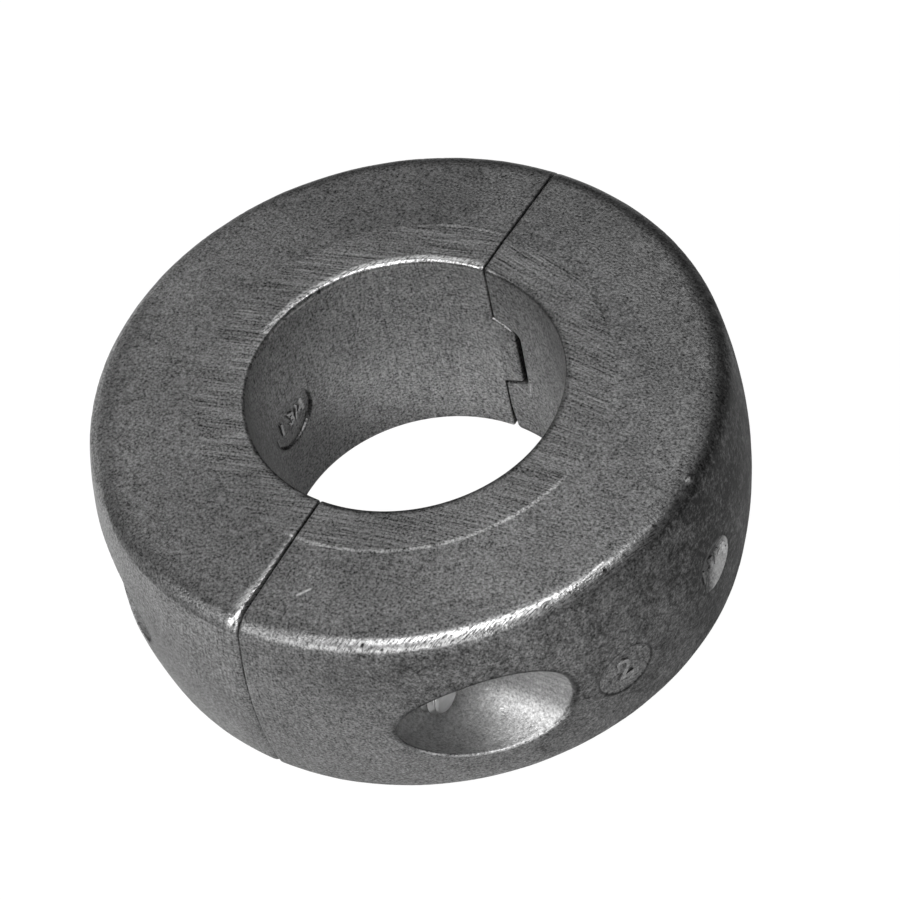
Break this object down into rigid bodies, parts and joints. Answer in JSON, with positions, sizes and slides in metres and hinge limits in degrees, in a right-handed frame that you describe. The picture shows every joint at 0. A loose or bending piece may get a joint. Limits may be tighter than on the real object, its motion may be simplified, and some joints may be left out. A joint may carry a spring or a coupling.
{
  "type": "split collar sacrificial anode",
  "caption": "Cast zinc anode collar in two mating halves, drawn together round a propeller shaft by recessed hex socket cap screws.",
  "frame": {"origin": "on the shaft axis, at the middle of the lower end face", "axes": "+Z along the shaft bore, +X square to the joint between the halves and along the clamp screws, +Y along the joint; the joint of the front screw is on the -Y side"},
  "size_m": [0.0918, 0.092, 0.0349],
  "materials": {
    "cast_zinc": "as-cast anode zinc, dull and mottled, with linished end rings",
    "stainless_steel": "plain stainless steel, turned and thread-rolled"
  },
  "bodies": {
    "root": {"anode_half_left": "cast_zinc", "anode_half_right": "cast_zinc", "front_clamp_screw": "stainless_steel", "back_clamp_screw": "stainless_steel", "front_lock_washer": "stainless_steel", "back_lock_washer": "stainless_steel", "front_captive_nut": "stainless_steel", "back_captive_nut": "stainless_steel"}
  },
  "joints": []
}
